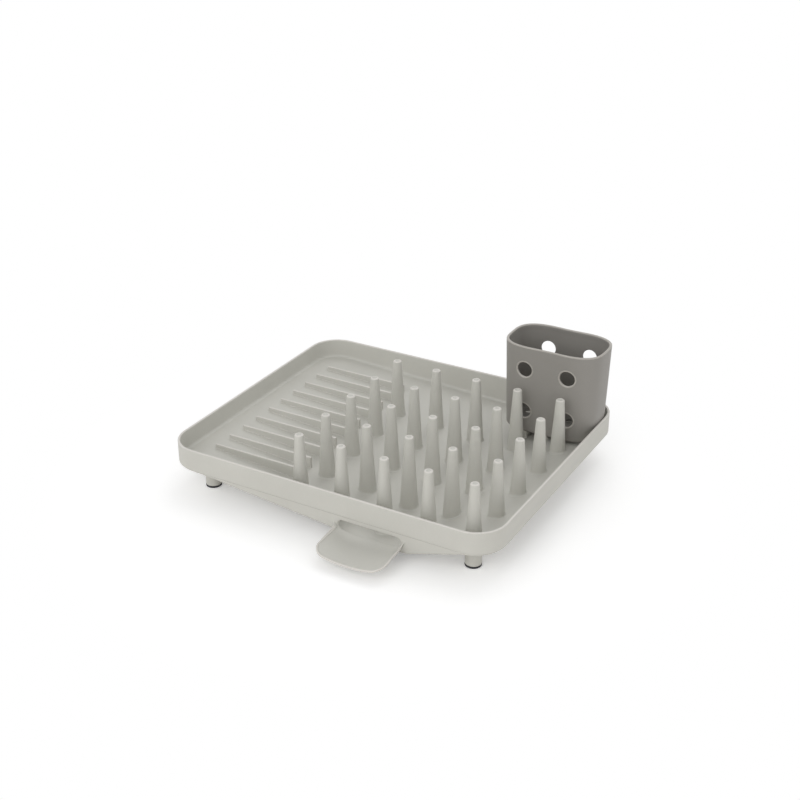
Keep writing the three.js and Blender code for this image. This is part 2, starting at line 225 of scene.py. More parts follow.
tray_points = []
tray_faces = []
ring_count = len(plan_ring(0))
for kind, inset, value in profile:
    xy = plan_ring(inset)
    tray_points += list(np.column_stack([xy, profile_heights(kind, xy, value)]))
for k in range(len(profile) - 1):
    tray_faces += ring_faces(k * ring_count, (k + 1) * ring_count, ring_count)


def middle_sheet(height):
    """Grid inside the corner centres at the heights of the floor's top or underside.

    Returns its points, faces and the order of its edge.
    """
    points = []
    for v in rows:
        x = column_places(straight_front + (straight_rear - straight_front) * v)
        y = np.full_like(x, straight_front + (straight_rear - straight_front) * v)
        points += list(np.column_stack([x, y, height(x, y)]))
    wide = len(columns)
    faces = [(r * wide + c, r * wide + c + 1, (r + 1) * wide + c + 1, (r + 1) * wide + c)
             for r in range(rear_steps) for c in range(wide - 1)]
    last = rear_steps * wide
    edge = list(range(wide)) + [wide - 1] * (corner_steps - 1)
    edge += [r * wide + wide - 1 for r in range(rear_steps + 1)] + [last + wide - 1] * (corner_steps - 1)
    edge += [last + c for c in range(wide - 1, -1, -1)] + [last] * (corner_steps - 1)
    edge += [r * wide for r in range(rear_steps, -1, -1)] + [0] * (corner_steps - 1)
    return points, faces, edge


for height, ring_start in ((floor_height, 0), (underside_height, (len(profile) - 1) * ring_count)):
    points, faces, edge = middle_sheet(height)
    base = len(tray_points)
    tray_points += points
    tray_faces += [tuple(base + v for v in face) for face in faces]
    for i in range(ring_count):
        after = (i + 1) % ring_count
        tray_faces.append((base + edge[i], base + edge[after], ring_start + after, ring_start + i))


weld_distance = 2e-6
sliver_length = 1e-7
sharp_degrees = 32


def make_mesh(name, points, faces):
    mesh = bpy.data.meshes.new(name)
    mesh.from_pydata([tuple(map(float, p)) for p in points], [], tidy_faces(faces))
    item = bpy.data.objects.new(name, mesh)
    bpy.context.scene.collection.objects.link(item)
    settle_mesh(item)
    return item


def settle_mesh(item):
    """Joins doubled points, turns every face outwards and smooths all but the sharp edges."""
    work = bmesh.new()
    work.from_mesh(item.data)
    bmesh.ops.remove_doubles(work, verts=work.verts, dist=weld_distance)
    bmesh.ops.dissolve_degenerate(work, edges=work.edges, dist=sliver_length)
    bmesh.ops.recalc_face_normals(work, faces=work.faces)
    work.to_mesh(item.data)
    work.free()
    item.data.shade_smooth()
    item.data.set_sharp_from_angle(angle=math.radians(sharp_degrees))


def combine(item, others, operation):
    """Cuts the others out of an item, or joins them to it, and uses them up."""
    for other in others:
        step = item.modifiers.new("combine", "BOOLEAN")
        step.operation = operation
        step.solver = "MANIFOLD"
        step.object = other
    graph = bpy.context.evaluated_depsgraph_get()
    result = bpy.data.meshes.new_from_object(item.evaluated_get(graph))
    item.modifiers.clear()
    item.data = result
    for other in others:
        bpy.data.objects.remove(other)
    settle_mesh(item)


tray = make_mesh("tray", tray_points, tray_faces)

# Spout. Part of the same moulding: an open dished scoop that carries the water from the mouth in the sump
# face over the edge of a sink. A rounded bead runs round its lip, and its sides curl up, run out towards the
# lip and flare where they meet the sump face.
spout_from_right = 0.1279
spout_x = tray_right - spout_from_right
spout_half_width = 0.0372
spout_reach = 0.0413
spout_bulge = 0.0033
spout_corner = 0.012
spout_root = 0.0015
spout_tip_height = 0.0111
spout_side_rise = 0.0062
spout_tip_side_rise = 0.0033
spout_curl_power = 2.8
root_climb = 0.0045
root_climb_run = 0.009
root_climb_start = 0.84
spout_flare = 0.0012
spout_flare_run = 0.0045
spout_underside = -0.0013
bead_rise = 0.0009
bead_width = 0.0022
bead_root_width = 0.0034
bead_lower_round = 0.0006
bead_upper_round = 0.0008
bead_inner_round = 0.0005
bead_cove = 0.0004
sump_face = tray_front + pan_inset
spout_straight = spout_reach - spout_corner


def dish_height(x, out):
    """Bottom of the dish at a distance out from the sump face. Its sides climb to the mouth's corners."""
    along = np.clip(out / spout_reach, 0, 1)
    side = np.abs((x - spout_x) / spout_half_width)
    middle = valley_front * (1 - along) + spout_tip_height * along
    rise = spout_side_rise + (spout_tip_side_rise - spout_side_rise) * along ** 2
    climb = np.clip((side - root_climb_start) / (1 - root_climb_start), 0, 1)
    climb = climb * np.clip(1 - out / root_climb_run, 0, 1)
    return middle + rise * side ** spout_curl_power + root_climb * climb ** 2


side_run_shares = np.array([-1, 0, 0.02, 0.05, 0.09, 0.14, 0.2, 0.27, 0.35, 0.45, 0.55, 0.66, 0.77, 0.89, 1])
side_runs = np.where(side_run_shares < 0, -spout_root, side_run_shares * spout_straight)
lip_shares = np.linspace(-1, 1, 33)
lip_turns = np.linspace(0, np.pi / 2, 13)
side_count = len(side_runs)
lip_count = len(lip_shares)


def spout_path(inset, bead_share):
    """Points of a line round the spout from its left root by its lip to its right root.

    The line is drawn in from the edge by an inset, which the bead's growth towards the root widens
    by its share.
    """
    widen = bead_share * (bead_root_width - bead_width) * (1 - np.clip(side_runs / spout_straight, 0, 1))
    near_root = np.clip(1 - np.maximum(side_runs, 0) / spout_flare_run, 0, 1)
    flare = spout_flare * near_root ** 2 * (1 - bead_share)
    side = np.column_stack([spout_half_width - inset - widen + flare, side_runs])
    radius = spout_corner - inset
    corner = np.column_stack([spout_half_width - spout_corner + radius * np.cos(lip_turns[1:]),
                              spout_straight + radius * np.sin(lip_turns[1:])])
    half = spout_half_width - spout_corner
    lip = np.column_stack([half * lip_shares[1:-1], np.full(lip_count - 2, spout_straight + radius)])
    right_side = np.vstack([side, corner])
    left_side = right_side * (-1, 1)
    return np.vstack([left_side, lip, right_side[::-1]])


def spout_points_at(path, lift):
    """Points of a path across and out from the sump face, at a lift over the dish's bottom."""
    across, out = path[:, 0], path[:, 1]
    x = spout_x + across
    bulge = spout_bulge * np.maximum(out, 0) / spout_reach * (1 - (across / spout_half_width) ** 2)
    return np.column_stack([x, sump_face - out - bulge, dish_height(x, out) + lift])


bead_flat = bead_width - bead_inner_round - bead_cove
bead_lines = [(bead_lower_round * (1 - math.sin(a)),
               spout_underside + bead_lower_round * (1 - math.cos(a)), 0) for a in quarter]
bead_lines += [(bead_upper_round * (1 - math.cos(a)),
                bead_rise - bead_upper_round * (1 - math.sin(a)), 0) for a in quarter]
bead_lines += [(bead_flat + bead_inner_round * math.sin(a),
                bead_rise - bead_inner_round * (1 - math.cos(a)), 1) for a in quarter]
bead_lines += [(bead_width - bead_cove * math.cos(a), bead_cove * (1 - math.sin(a)), 1)
               for a in quarter[1:]]
dish_insets = (bead_root_width, 0.005, 0.0072, 0.0096, spout_corner)
under_insets = dish_insets[::-1] + (bead_width,)
spout_lines = [(inset, spout_underside, 1) for inset in under_insets]
spout_lines += bead_lines
spout_lines += [(inset, 0, 1) for inset in dish_insets]
spout_rows = [spout_points_at(spout_path(inset, share), lift) for inset, lift, share in spout_lines]
path_count = len(spout_rows[0])
spout_points = list(np.vstack(spout_rows))
spout_faces = [(first + i, first + i + 1, first + path_count + i + 1, first + path_count + i)
               for first in range(0, (len(spout_rows) - 1) * path_count, path_count)
               for i in range(path_count - 1)]
first_lip = side_count + len(lip_turns) - 2
root_loop = [k * path_count for k in range(len(spout_rows))]
for line, lift in ((len(spout_rows) - 1, 0), (0, spout_underside)):
    # The middle of the dish and of the underside is a plain grid inside the innermost line.
    start = line * path_count
    grid = np.empty((side_count, lip_count), int)
    for r in range(side_count):
        for c in range(1, lip_count - 1):
            grid[r, c] = len(spout_points)
            across = lip_shares[c] * (spout_half_width - spout_corner)
            spout_points += list(spout_points_at(np.array([[across, side_runs[r]]]), lift))
    grid[:, 0] = start + np.arange(side_count)
    grid[:, -1] = start + path_count - 1 - np.arange(side_count)
    grid[-1] = start + first_lip + np.arange(lip_count)
    spout_faces += [(grid[r, c], grid[r, c + 1], grid[r + 1, c + 1], grid[r + 1, c])
                    for r in range(side_count - 1) for c in range(lip_count - 1)]
    row = list(grid[0])
    if line:
        root_loop += row[1:-1]
        root_loop += [k * path_count + path_count - 1 for k in range(len(spout_rows) - 1, -1, -1)]
    else:
        root_loop += row[-2:0:-1]
spout_faces.append(tuple(root_loop))
spout = make_mesh("spout", spout_points, spout_faces)
combine(tray, [spout], "UNION")

mouth_top = 0.0262
mouth_corner = 0.005
mouth_round = 0.0014
jamb_round = 0.0024
mouth_sill_gap = 0.00002
mouth_overrun = 0.0001
mouth_half = spout_half_width - bead_root_width
mouth_shares = np.sin(np.linspace(-np.pi / 2, np.pi / 2, 41))


def mouth_ring(out, turn):
    """Outline of the mouth at a distance out: the dish below, upright sides and round corners above.

    Its edge turns outwards to the sump face, widely at the sides and tightly along the top.
    """
    flare = 1 - math.cos(turn)
    x = spout_x + (mouth_half + jamb_round * flare) * mouth_shares
    sill = np.column_stack([x, np.full_like(x, sump_face - out), dish_height(x, 0) + mouth_sill_gap])
    past = np.clip(np.abs(x - spout_x) - mouth_half + mouth_corner, 0, None)
    past = past / (mouth_corner + jamb_round * flare)
    arch = sill.copy()
    arch[:, 2] = mouth_top - mouth_corner
    arch[:, 2] += (mouth_corner + mouth_round * flare) * np.sqrt(np.clip(1 - past ** 2, 0, 1))
    return np.vstack([sill, arch[::-1]])


def stacked_piece(name, rows):
    """Closed piece from a stack of outlines that have the same count of points."""
    count = len(rows[0])
    faces = [face for k in range(len(rows) - 1) for face in ring_faces(k * count, (k + 1) * count, count)]
    faces += [tuple(range(count)), tuple(range((len(rows) - 1) * count, len(rows) * count))]
    return make_mesh(name, np.vstack(rows), faces)


mouth_rows = [mouth_ring(-wall - floor_cove, 0)]
mouth_rows += [mouth_ring(-jamb_round * (1 - math.sin(a)), a) for a in quarter]
mouth_rows += [mouth_ring(mouth_overrun, math.pi / 2)]
combine(tray, [stacked_piece("mouth", mouth_rows)], "DIFFERENCE")
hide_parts("tray")
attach(tray, "rack")


class Paint:
    """Socket in a material's nodes, for writing shader maths as expressions."""

    def __init__(self, tree, socket=None):
        self.tree = tree
        self.socket = socket

    def node(self, kind, settings=None, inputs=None, output=0):
        made = self.tree.nodes.new(kind)
        for key, value in (settings or {}).items():
            setattr(made, key, value)
        for key, value in (inputs or {}).items():
            if isinstance(value, Paint):
                self.tree.links.new(value.socket, made.inputs[key])
            else:
                made.inputs[key].default_value = value
        return Paint(self.tree, made.outputs[output])

    def maths(self, operation, first, second):
        return self.node("ShaderNodeMath", {"operation": operation}, {0: first, 1: second})

    def __add__(self, other):
        return self.maths("ADD", self, other)

    __radd__ = __add__

    def __sub__(self, other):
        return self.maths("SUBTRACT", self, other)

    def __rsub__(self, other):
        return self.maths("SUBTRACT", other, self)

    def __mul__(self, other):
        return self.maths("MULTIPLY", self, other)

    __rmul__ = __mul__


def from_srgb(*levels):
    """Colour of a surface from its screen levels out of 255."""
    shares = [level / 255 for level in levels]
    linear = [s / 12.92 if s <= 0.04045 else ((s + 0.055) / 1.055) ** 2.4 for s in shares]
    return (*linear, 1)


def noise(paint, where, scale, detail, roughness):
    return paint.node("ShaderNodeTexNoise", inputs={
        "Vector": where, "Scale": scale, "Detail": detail, "Roughness": roughness})


cloud_scale = 14
flow_scale = 60
speck_scale = 900
grain_scale = 2200
cloud_share = 0.5
flow_share = 0.2
speck_share = 0.3
flow_gloss = 0.12
speck_gloss = 0.06
grain_strength = 0.35
grain_depth = 0.00006
fine_grain_depth = 0.00003
plastic_ior = 1.47


def moulded_plastic(name, deep, pale, roughness, depth):
    """Moulded plastic with a faint cloud in its pigment, a fine spark-eroded grain and an uneven satin."""
    material = bpy.data.materials.new(name)
    material.use_nodes = True
    paint = Paint(material.node_tree)
    shader = material.node_tree.nodes["Principled BSDF"]
    where = paint.node("ShaderNodeTexCoord", output="Object")
    cloud = noise(paint, where, cloud_scale, detail=3, roughness=0.5)
    flow = noise(paint, where, flow_scale, detail=2, roughness=0.6)
    speck = noise(paint, where, speck_scale, detail=2, roughness=0.7)
    grain = noise(paint, where, grain_scale, detail=3, roughness=0.65)
    tone = cloud_share * cloud + flow_share * flow + speck_share * speck
    colour = paint.node("ShaderNodeMix", {"data_type": "RGBA"}, {0: tone, 6: deep, 7: pale}, output=2)
    bump = paint.node(
        "ShaderNodeBump", inputs={"Strength": grain_strength, "Distance": depth, "Height": grain})
    satin = roughness + flow_gloss * (flow - 0.5) + speck_gloss * (speck - 0.5)
    links = material.node_tree.links
    links.new(colour.socket, shader.inputs["Base Color"])
    links.new(satin.socket, shader.inputs["Roughness"])
    links.new(bump.socket, shader.inputs["Normal"])
    shader.inputs["IOR"].default_value = plastic_ior
    return material


def paint_faces(item, material, chosen):
    """Gives a material to the faces whose centres pass a test of x, y and z."""
    count = len(item.data.polygons)
    centres = np.empty(count * 3)
    item.data.polygons.foreach_get("center", centres)
    slots = np.empty(count, int)
    item.data.polygons.foreach_get("material_index", slots)
    slots[chosen(*centres.reshape(-1, 3).T)] = len(item.data.materials)
    item.data.materials.append(material)
    item.data.polygons.foreach_set("material_index", slots)


def inset_at(x, y):
    """Distance in from the tray's outline."""
    past_x = np.abs(x) - straight_half
    past_y = np.abs(y - (straight_front + straight_rear) / 2) - (straight_rear - straight_front) / 2
    outside = np.hypot(np.maximum(past_x, 0), np.maximum(past_y, 0))
    return corner_radius - outside - np.minimum(np.maximum(past_x, past_y), 0)


rim_highlight_share = 0.8
seam_shadow_share = 0.7


def on_tray_rim(x, y, z):
    """The rounded top of the rim, which gets a painted highlight."""
    return z > rim_top - rim_highlight_share * rim_round


def on_bead(x, y, z):
    """The bead's crown and its outer side, which get a painted highlight."""
    side = np.abs(x - spout_x)
    out = (sump_face - y) / (1 + spout_bulge / spout_reach * (1 - (side / spout_half_width) ** 2))
    past_side = side - spout_half_width + spout_corner
    past_lip = out - spout_straight
    outside = np.hypot(np.maximum(past_side, 0), np.maximum(past_lip, 0))
    inset = spout_corner - outside - np.minimum(np.maximum(past_side, past_lip), 0)
    level = z - dish_height(x, out)
    crown = (inset < bead_root_width) & (level > bead_rise / 3)
    outer_side = (inset < bead_lower_round) & (level > spout_underside + bead_lower_round / 2)
    return (out > jamb_round) & (crown | outer_side)


def on_seam_painted_shadow(x, y, z):
    """Painted shadow: a darker line right below the band, along the front, that stands in for the shade under
    the band.
    """
    below = band_bottom - z
    upright = np.abs(inset_at(x, y) - pan_inset) < pan_inset / 8
    on_line = (below > seam_height / 8) & (below < seam_shadow_share * seam_height)
    return upright & on_line & (y < straight_front)


tray_plastic = moulded_plastic(
    "tray_plastic", from_srgb(191, 190, 183), from_srgb(212, 211, 204), roughness=0.48, depth=grain_depth)
# Paler, smoother plastic for the rounded edges: the lower roughness is a smoother finish, and the paler
# colour is a painted highlight on the rim, the bead, the prongs' rings and the ribs' crowns.
tray_edge_painted_highlight = moulded_plastic(
    "tray_edge_painted_highlight", from_srgb(205, 202, 196), from_srgb(224, 221, 215), roughness=0.34, depth=fine_grain_depth)
# Painted shadow: darker plastic for the line under the band, standing in for the shade in the seam.
tray_seam_painted_shadow = moulded_plastic(
    "tray_seam_painted_shadow", from_srgb(156, 154, 149), from_srgb(174, 172, 167), roughness=0.7, depth=grain_depth)
tray.data.materials.clear()
tray.data.materials.append(tray_plastic)
# Painted highlight on the rim's top and on the bead's crown and outer side.
paint_faces(tray, tray_edge_painted_highlight, on_tray_rim)
paint_faces(tray, tray_edge_painted_highlight, on_bead)
# Painted shadow along the seam under the band.
paint_faces(tray, tray_seam_painted_shadow, on_seam_painted_shadow)

# Legs. Four short tapered posts of the same moulding, which flow into the tray's underside with a fillet.
leg_inset_x = 0.0335
leg_inset_y = 0.0322
leg_foot_radius = 0.008
leg_foot = 0.0022
leg_foot_ease = 0.0003
leg_foot_land = 0.0012
leg_draft = 0.02
leg_fillet = 0.0025
leg_bite = 0.00002
leg_sides = 56
leg_head = floor_margin - floor_thickness
leg_places = {
    "front_left": (leg_inset_x - tray_right, tray_front + leg_inset_y),
    "front_right": (tray_right - leg_inset_x, tray_front + leg_inset_y),
    "rear_left": (leg_inset_x - tray_right, tray_rear - leg_inset_y),
    "rear_right": (tray_right - leg_inset_x, tray_rear - leg_inset_y),
}


def circle(x, y, radius, sides):
    turns = np.arange(sides) / sides * 2 * np.pi
    return x + radius * np.cos(turns), y + radius * np.sin(turns)


def turned_rows(x, y, outline, sides):
    """Level rings round an upright axis, from their radii and heights."""
    return [np.column_stack([*circle(x, y, radius, sides), np.full(sides, z)]) for radius, z in outline]


def finish_piece(piece, material, body, slot, *nodes):
    """Gives a piece its material and body, and hides the nodes that it replaces. The slot is not used."""
    piece.data.materials.append(material)
    if nodes:
        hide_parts(*nodes)
    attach(piece, body)


for place, (x, y) in leg_places.items():
    rows_up = turned_rows(x, y, (
        (leg_foot_radius - leg_foot_land, leg_foot),
        (leg_foot_radius - leg_foot_ease, leg_foot),
        (leg_foot_radius, leg_foot + leg_foot_ease)), leg_sides)
    for share in np.linspace(0, 1, 8)[1:]:
        radius = leg_foot_radius + (leg_head - leg_fillet - leg_foot) * share * leg_draft
        ring_x, ring_y = circle(x, y, radius, leg_sides)
        under = underside_height(ring_x, ring_y) - leg_fillet
        ring_z = (leg_foot + leg_foot_ease) * (1 - share) + under * share
        rows_up.append(np.column_stack([ring_x, ring_y, ring_z]))
    shaft = leg_foot_radius + (leg_head - leg_foot) * leg_draft
    for a in quarter[1:]:
        ring_x, ring_y = circle(x, y, shaft + leg_fillet * (1 - math.cos(a)), leg_sides)
        ring_z = underside_height(ring_x, ring_y) - leg_fillet * (1 - math.sin(a)) + leg_bite
        rows_up.append(np.column_stack([ring_x, ring_y, ring_z]))
    leg = stacked_piece(f"leg_{place}", rows_up)
    finish_piece(leg, tray_plastic, "rack", "tray_plastic")

# Foot pads. Near-black soft rubber discs, each pressed into the end of a leg by a short plug.
pad_radius = 0.0082
pad_thickness = 0.002
pad_round = 0.0006
pad_hollow_radius = 0.0052
pad_hollow_depth = 0.0003
pad_hollow_ease = 0.0006
plug_radius = 0.0045
plug_length = 0.003
plug_root = 0.0006
plug_nose = 0.001
plug_round = 0.0008
plug_end = pad_thickness + plug_length
pad_outline = [
    (pad_hollow_radius - 2 * pad_hollow_ease, pad_hollow_depth),
    (pad_hollow_radius - pad_hollow_ease, pad_hollow_depth),
    (pad_hollow_radius, 0),
    (pad_hollow_radius + pad_hollow_ease, 0)]
pad_outline += [(pad_radius - pad_round * (1 - math.sin(a)), pad_round * (1 - math.cos(a))) for a in quarter]
pad_outline += [(pad_radius - pad_round * (1 - math.cos(a)), pad_thickness - pad_round * (1 - math.sin(a)))
                for a in quarter]
pad_outline += [
    (plug_radius + plug_root, pad_thickness),
    (plug_radius, pad_thickness),
    (plug_radius, plug_end - plug_nose),
    (plug_radius - plug_round / 2, plug_end - plug_round / 4),
    (plug_radius - plug_round, plug_end)]
dust_scale = 260
pore_scale = 2600
pore_strength = 0.5
pore_depth = 0.00008
rubber_roughness = 0.72
dust_gloss = 0.2
pad_rubber = bpy.data.materials.new("pad_rubber")
pad_rubber.use_nodes = True
rubber = Paint(pad_rubber.node_tree)
rubber_shader = pad_rubber.node_tree.nodes["Principled BSDF"]
rubber_where = rubber.node("ShaderNodeTexCoord", output="Object")
dust = noise(rubber, rubber_where, dust_scale, detail=4, roughness=0.7)
pores = noise(rubber, rubber_where, pore_scale, detail=2, roughness=0.5)
rubber_colour = rubber.node(
    "ShaderNodeMix", {"data_type": "RGBA"},
    {0: dust, 6: from_srgb(32, 32, 35), 7: from_srgb(66, 66, 70)}, output=2)
rubber_bump = rubber.node(
    "ShaderNodeBump", inputs={"Strength": pore_strength, "Distance": pore_depth, "Height": pores})
pad_rubber.node_tree.links.new(rubber_colour.socket, rubber_shader.inputs["Base Color"])
rubber_matt = rubber_roughness + dust_gloss * (dust - 0.5)
pad_rubber.node_tree.links.new(rubber_matt.socket, rubber_shader.inputs["Roughness"])
pad_rubber.node_tree.links.new(rubber_bump.socket, rubber_shader.inputs["Normal"])

for place, (x, y) in leg_places.items():
    pad = stacked_piece(f"foot_pad_{place}", turned_rows(x, y, pad_outline, leg_sides))
    finish_piece(pad, pad_rubber, "rack", "pad_rubber", f"foot_pad_{place}")

# Plate prongs. Tapered pegs in a square grid, moulded in one with the floor, each with a filleted foot and
# a rounded top that carries the shallow dimple of the mould's ejector.
prong_top = 0.0915
prong_tip_radius = 0.0045
prong_tip_round = 0.0016
prong_draft = 0.062
prong_fillet = 0.0018
prong_dimple_radius = 0.0025
prong_dimple_depth = 0.0007
prong_dimple_middle = 0.0002
prong_dimple_shares = ((0.6, 1), (0.85, 0.7), (1, 0.1), (1.12, 0))
prong_sides = 40
moulded_sink = 0.00002
prong_shoulder = prong_top - prong_tip_round
prong_tip_outline = [(prong_dimple_middle, prong_top - prong_dimple_depth)]
prong_tip_outline += [(prong_dimple_radius * out, prong_top - prong_dimple_depth * down)
                      for out, down in prong_dimple_shares]
prong_tip_outline += [(prong_tip_radius - prong_tip_round * (1 - math.sin(a)),
                       prong_top - prong_tip_round * (1 - math.cos(a))) for a in quarter]


def on_prong_ring(prong_x, prong_y):
    """Test for the rounded ring round the dimple of the prong at a place, which gets a painted highlight."""
    def test(x, y, z):
        off_dimple = np.hypot(x - prong_x, y - prong_y) > prong_dimple_radius
        return off_dimple & (z > prong_top - prong_tip_round / 2)
    return test


for node in sorted(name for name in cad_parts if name.startswith("prong_row")):
    low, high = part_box(node)
    x, y = (low.x + high.x) / 2, (low.y + high.y) / 2
    rows_down = turned_rows(x, y, prong_tip_outline, prong_sides)
    ground = float(floor_height(np.array([x]), np.array([y]))[0])
    foot_radius = prong_tip_radius + (prong_shoulder - ground - prong_fillet) * prong_draft
    for share in np.linspace(0, 1, 7)[1:]:
        radius = prong_tip_radius + (foot_radius - prong_tip_radius) * share
        ring_x, ring_y = circle(x, y, radius, prong_sides)
        foot = floor_height(ring_x, ring_y) + prong_fillet
        rows_down.append(np.column_stack([ring_x, ring_y, prong_shoulder * (1 - share) + foot * share]))
    for a in quarter[1:]:
        ring_x, ring_y = circle(x, y, foot_radius + prong_fillet * (1 - math.cos(a)), prong_sides)
        ring_z = floor_height(ring_x, ring_y) + prong_fillet * (1 - math.sin(a)) - moulded_sink
        rows_down.append(np.column_stack([ring_x, ring_y, ring_z]))
    prong = stacked_piece(node.replace("_row", "_"), rows_down)
    finish_piece(prong, tray_plastic, "rack", "tray_plastic", node)
    # Painted highlight: the ring round the dimple gets the paler edge colour.
    paint_faces(prong, tray_edge_painted_highlight, on_prong_ring(x, y))

# Glass ribs and holder rests. Thin blades of the same moulding with level crowns: glasses stand on the ribs
# upside down and drain between them, and the cutlery holder sits level on the rests.
rib_foot_thickness = 0.0026
rib_draft = 0.02
rib_crown = 0.0006
rib_fillet = 0.0009
rib_corner = 0.0005
blade_steps = 10
blade_side_shares = (0.35, 0.7, 1)


def blade(name, low, high, along_x):
    """Upright blade between two corners with a rounded crown, upright ends and a filleted foot."""
    top = high.z
    middle_x, middle_y = (low.x + high.x) / 2, (low.y + high.y) / 2
    half_long = (high.x - low.x if along_x else high.y - low.y) / 2

    def outline(grow, half):
        """Rounded slip round the blade's plan, half thick, grown by an amount."""
        corner = rib_corner + max(grow, 0)
        turns = np.linspace(0, np.pi / 2, 4)
        run = np.linspace(-half_long + rib_corner, half_long - rib_corner, blade_steps)
        side = half - rib_corner
        end = half_long - rib_corner
        flat = [(u, -side - corner) for u in run]
        flat += [(end + corner * math.sin(t), -side - corner * math.cos(t)) for t in turns[1:]]
        flat += [(end + corner * math.cos(t), side + corner * math.sin(t)) for t in turns[:-1]]
        flat += [(u, side + corner) for u in run[::-1]]
        flat += [(-end - corner * math.sin(t), side + corner * math.cos(t)) for t in turns[1:]]
        flat += [(-end - corner * math.cos(t), -side - corner * math.sin(t)) for t in turns[:-1]]
        flat = np.array(flat)
        if not along_x:
            flat = np.column_stack([-flat[:, 1], flat[:, 0]])
        return flat[:, 0] + middle_x, flat[:, 1] + middle_y

    thin = rib_foot_thickness / 2 - (top - floor_margin) * rib_draft
    rows_down = []
    for a in quarter[1:]:
        ring_x, ring_y = outline(0, thin - rib_crown * (1 - math.sin(a)))
        ring_z = np.full(len(ring_x), top - rib_crown * (1 - math.cos(a)))
        rows_down.append(np.column_stack([ring_x, ring_y, ring_z]))
    for share in blade_side_shares:
        ring_x, ring_y = outline(0, thin)
        foot = floor_height(ring_x, ring_y) + rib_fillet
        rows_down.append(np.column_stack([ring_x, ring_y, (top - rib_crown) * (1 - share) + foot * share]))
    for a in quarter[1:]:
        ring_x, ring_y = outline(rib_fillet * (1 - math.cos(a)), thin)
        ring_z = floor_height(ring_x, ring_y) + rib_fillet * (1 - math.sin(a)) - moulded_sink
        rows_down.append(np.column_stack([ring_x, ring_y, ring_z]))
    return stacked_piece(name, rows_down)


for node in sorted(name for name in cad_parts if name.startswith("glass_rib")):
    low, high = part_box(node)
    rib = blade(node, low, high, True)
    finish_piece(rib, tray_plastic, "rack", "tray_plastic", node)
    # Painted highlight: each rib's rounded crown gets the paler edge colour.
    rib_highlight_from = high.z - rib_crown
    paint_faces(rib, tray_edge_painted_highlight, lambda x, y, z: z > rib_highlight_from)

for node in sorted(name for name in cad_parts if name.startswith("holder_rest")):
    finish_piece(blade(node, *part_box(node), False), tray_plastic, "rack", "tray_plastic", node)

# Cutlery holder. A separate waisted cup in taupe grey plastic with round drip holes through its long walls
# and drain holes in its base. It stands loose in the tray's rear right corner and lifts straight out.
holder_half_length = 0.0502
holder_half_depth = 0.0308
holder_waist = 0.0019
holder_waist_reach = 0.45
holder_squareness = 3.25
holder_draft = 0.029
holder_wall = 0.0022
holder_floor = 0.0022
holder_edge_radius = 0.003
holder_base_ease = 0.0006
holder_base_land = 0.002
holder_rim_round = 0.0012
holder_rim_thickness = 0.0027
holder_rim_blend = 0.006
holder_points = 168
holder_levels = 34
rim_blend_levels = 9
holder_low, holder_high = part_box("cutlery_holder")
holder_x = (holder_low.x + holder_high.x) / 2
holder_y = (holder_low.y + holder_high.y) / 2
holder_base = holder_low.z
holder_top = holder_high.z


def waist_share(x):
    """Share of the cup's depth at a distance along it: 1 at its ends, less at its waist."""
    near_waist = np.exp(-((x / (holder_half_length * holder_waist_reach)) ** 2))
    return 1 - holder_waist / holder_half_depth * near_waist


def holder_ring(growth, z):
    """Waisted rounded oblong, larger by a growth than the cup's base."""
    turns = (np.arange(holder_points) + 0.5) / holder_points * 2 * np.pi
    power = 2 / holder_squareness
    c, s = np.cos(turns), np.sin(turns)
    x = (holder_half_length + growth) * np.sign(c) * np.abs(c) ** power
    y = (holder_half_depth + growth) * np.sign(s) * np.abs(s) ** power
    return np.column_stack([holder_x + x, holder_y + y * waist_share(x), np.full(holder_points, z)])


def holder_wall_out(x, z):
    """Distance of the holder's long wall from its middle plane."""
    growth = (z - holder_base) * holder_draft
    past_middle = np.abs(x / (holder_half_length + growth))
    round_share = (1 - past_middle ** holder_squareness) ** (1 / holder_squareness)
    return (holder_half_depth + growth) * round_share * waist_share(x)


inner_base = holder_base + holder_floor
holder_profile = [(-holder_edge_radius - holder_base_land, holder_base),
                  (-holder_edge_radius - holder_base_ease, holder_base)]
holder_profile += [(-holder_edge_radius * (1 - math.sin(a)),
                    holder_base + holder_edge_radius * (1 - math.cos(a))) for a in quarter]
wall_start = holder_base + holder_edge_radius
wall_end = holder_top - holder_rim_round
holder_profile += [((z - holder_base) * holder_draft, z)
                   for z in np.linspace(wall_start, wall_end, holder_levels)[1:]]
rim_growth = (holder_top - holder_base) * holder_draft
holder_profile += [(rim_growth - holder_rim_round * (1 - math.cos(a)),
                    wall_end + holder_rim_round * math.sin(a)) for a in quarter[1:]]
holder_profile += [(rim_growth - holder_rim_thickness + holder_rim_round * (1 - math.sin(a)),
                    wall_end + holder_rim_round * math.cos(a)) for a in quarter]
inner_start = inner_base + holder_edge_radius
blend_end = wall_end - holder_rim_blend
for z in np.linspace(wall_end, blend_end, rim_blend_levels)[1:]:
    thicker = (1 + math.cos(math.pi * (wall_end - z) / holder_rim_blend)) / 2
    thickness = holder_wall + (holder_rim_thickness - holder_wall) * thicker
    holder_profile.append(((z - holder_base) * holder_draft - thickness, z))
holder_profile += [((z - holder_base) * holder_draft - holder_wall, z)
                   for z in np.linspace(blend_end, inner_start, holder_levels)[1:]]
holder_profile += [(-holder_wall - holder_edge_radius * (1 - math.cos(a)),
                    inner_base + holder_edge_radius * (1 - math.sin(a))) for a in quarter[1:]]
holder_profile += [(-holder_wall - holder_edge_radius - holder_base_ease, inner_base),
                   (-holder_wall - holder_edge_radius - holder_base_land, inner_base)]
cutlery_holder = stacked_piece("cutlery_holder", [holder_ring(growth, z) for growth, z in holder_profile])

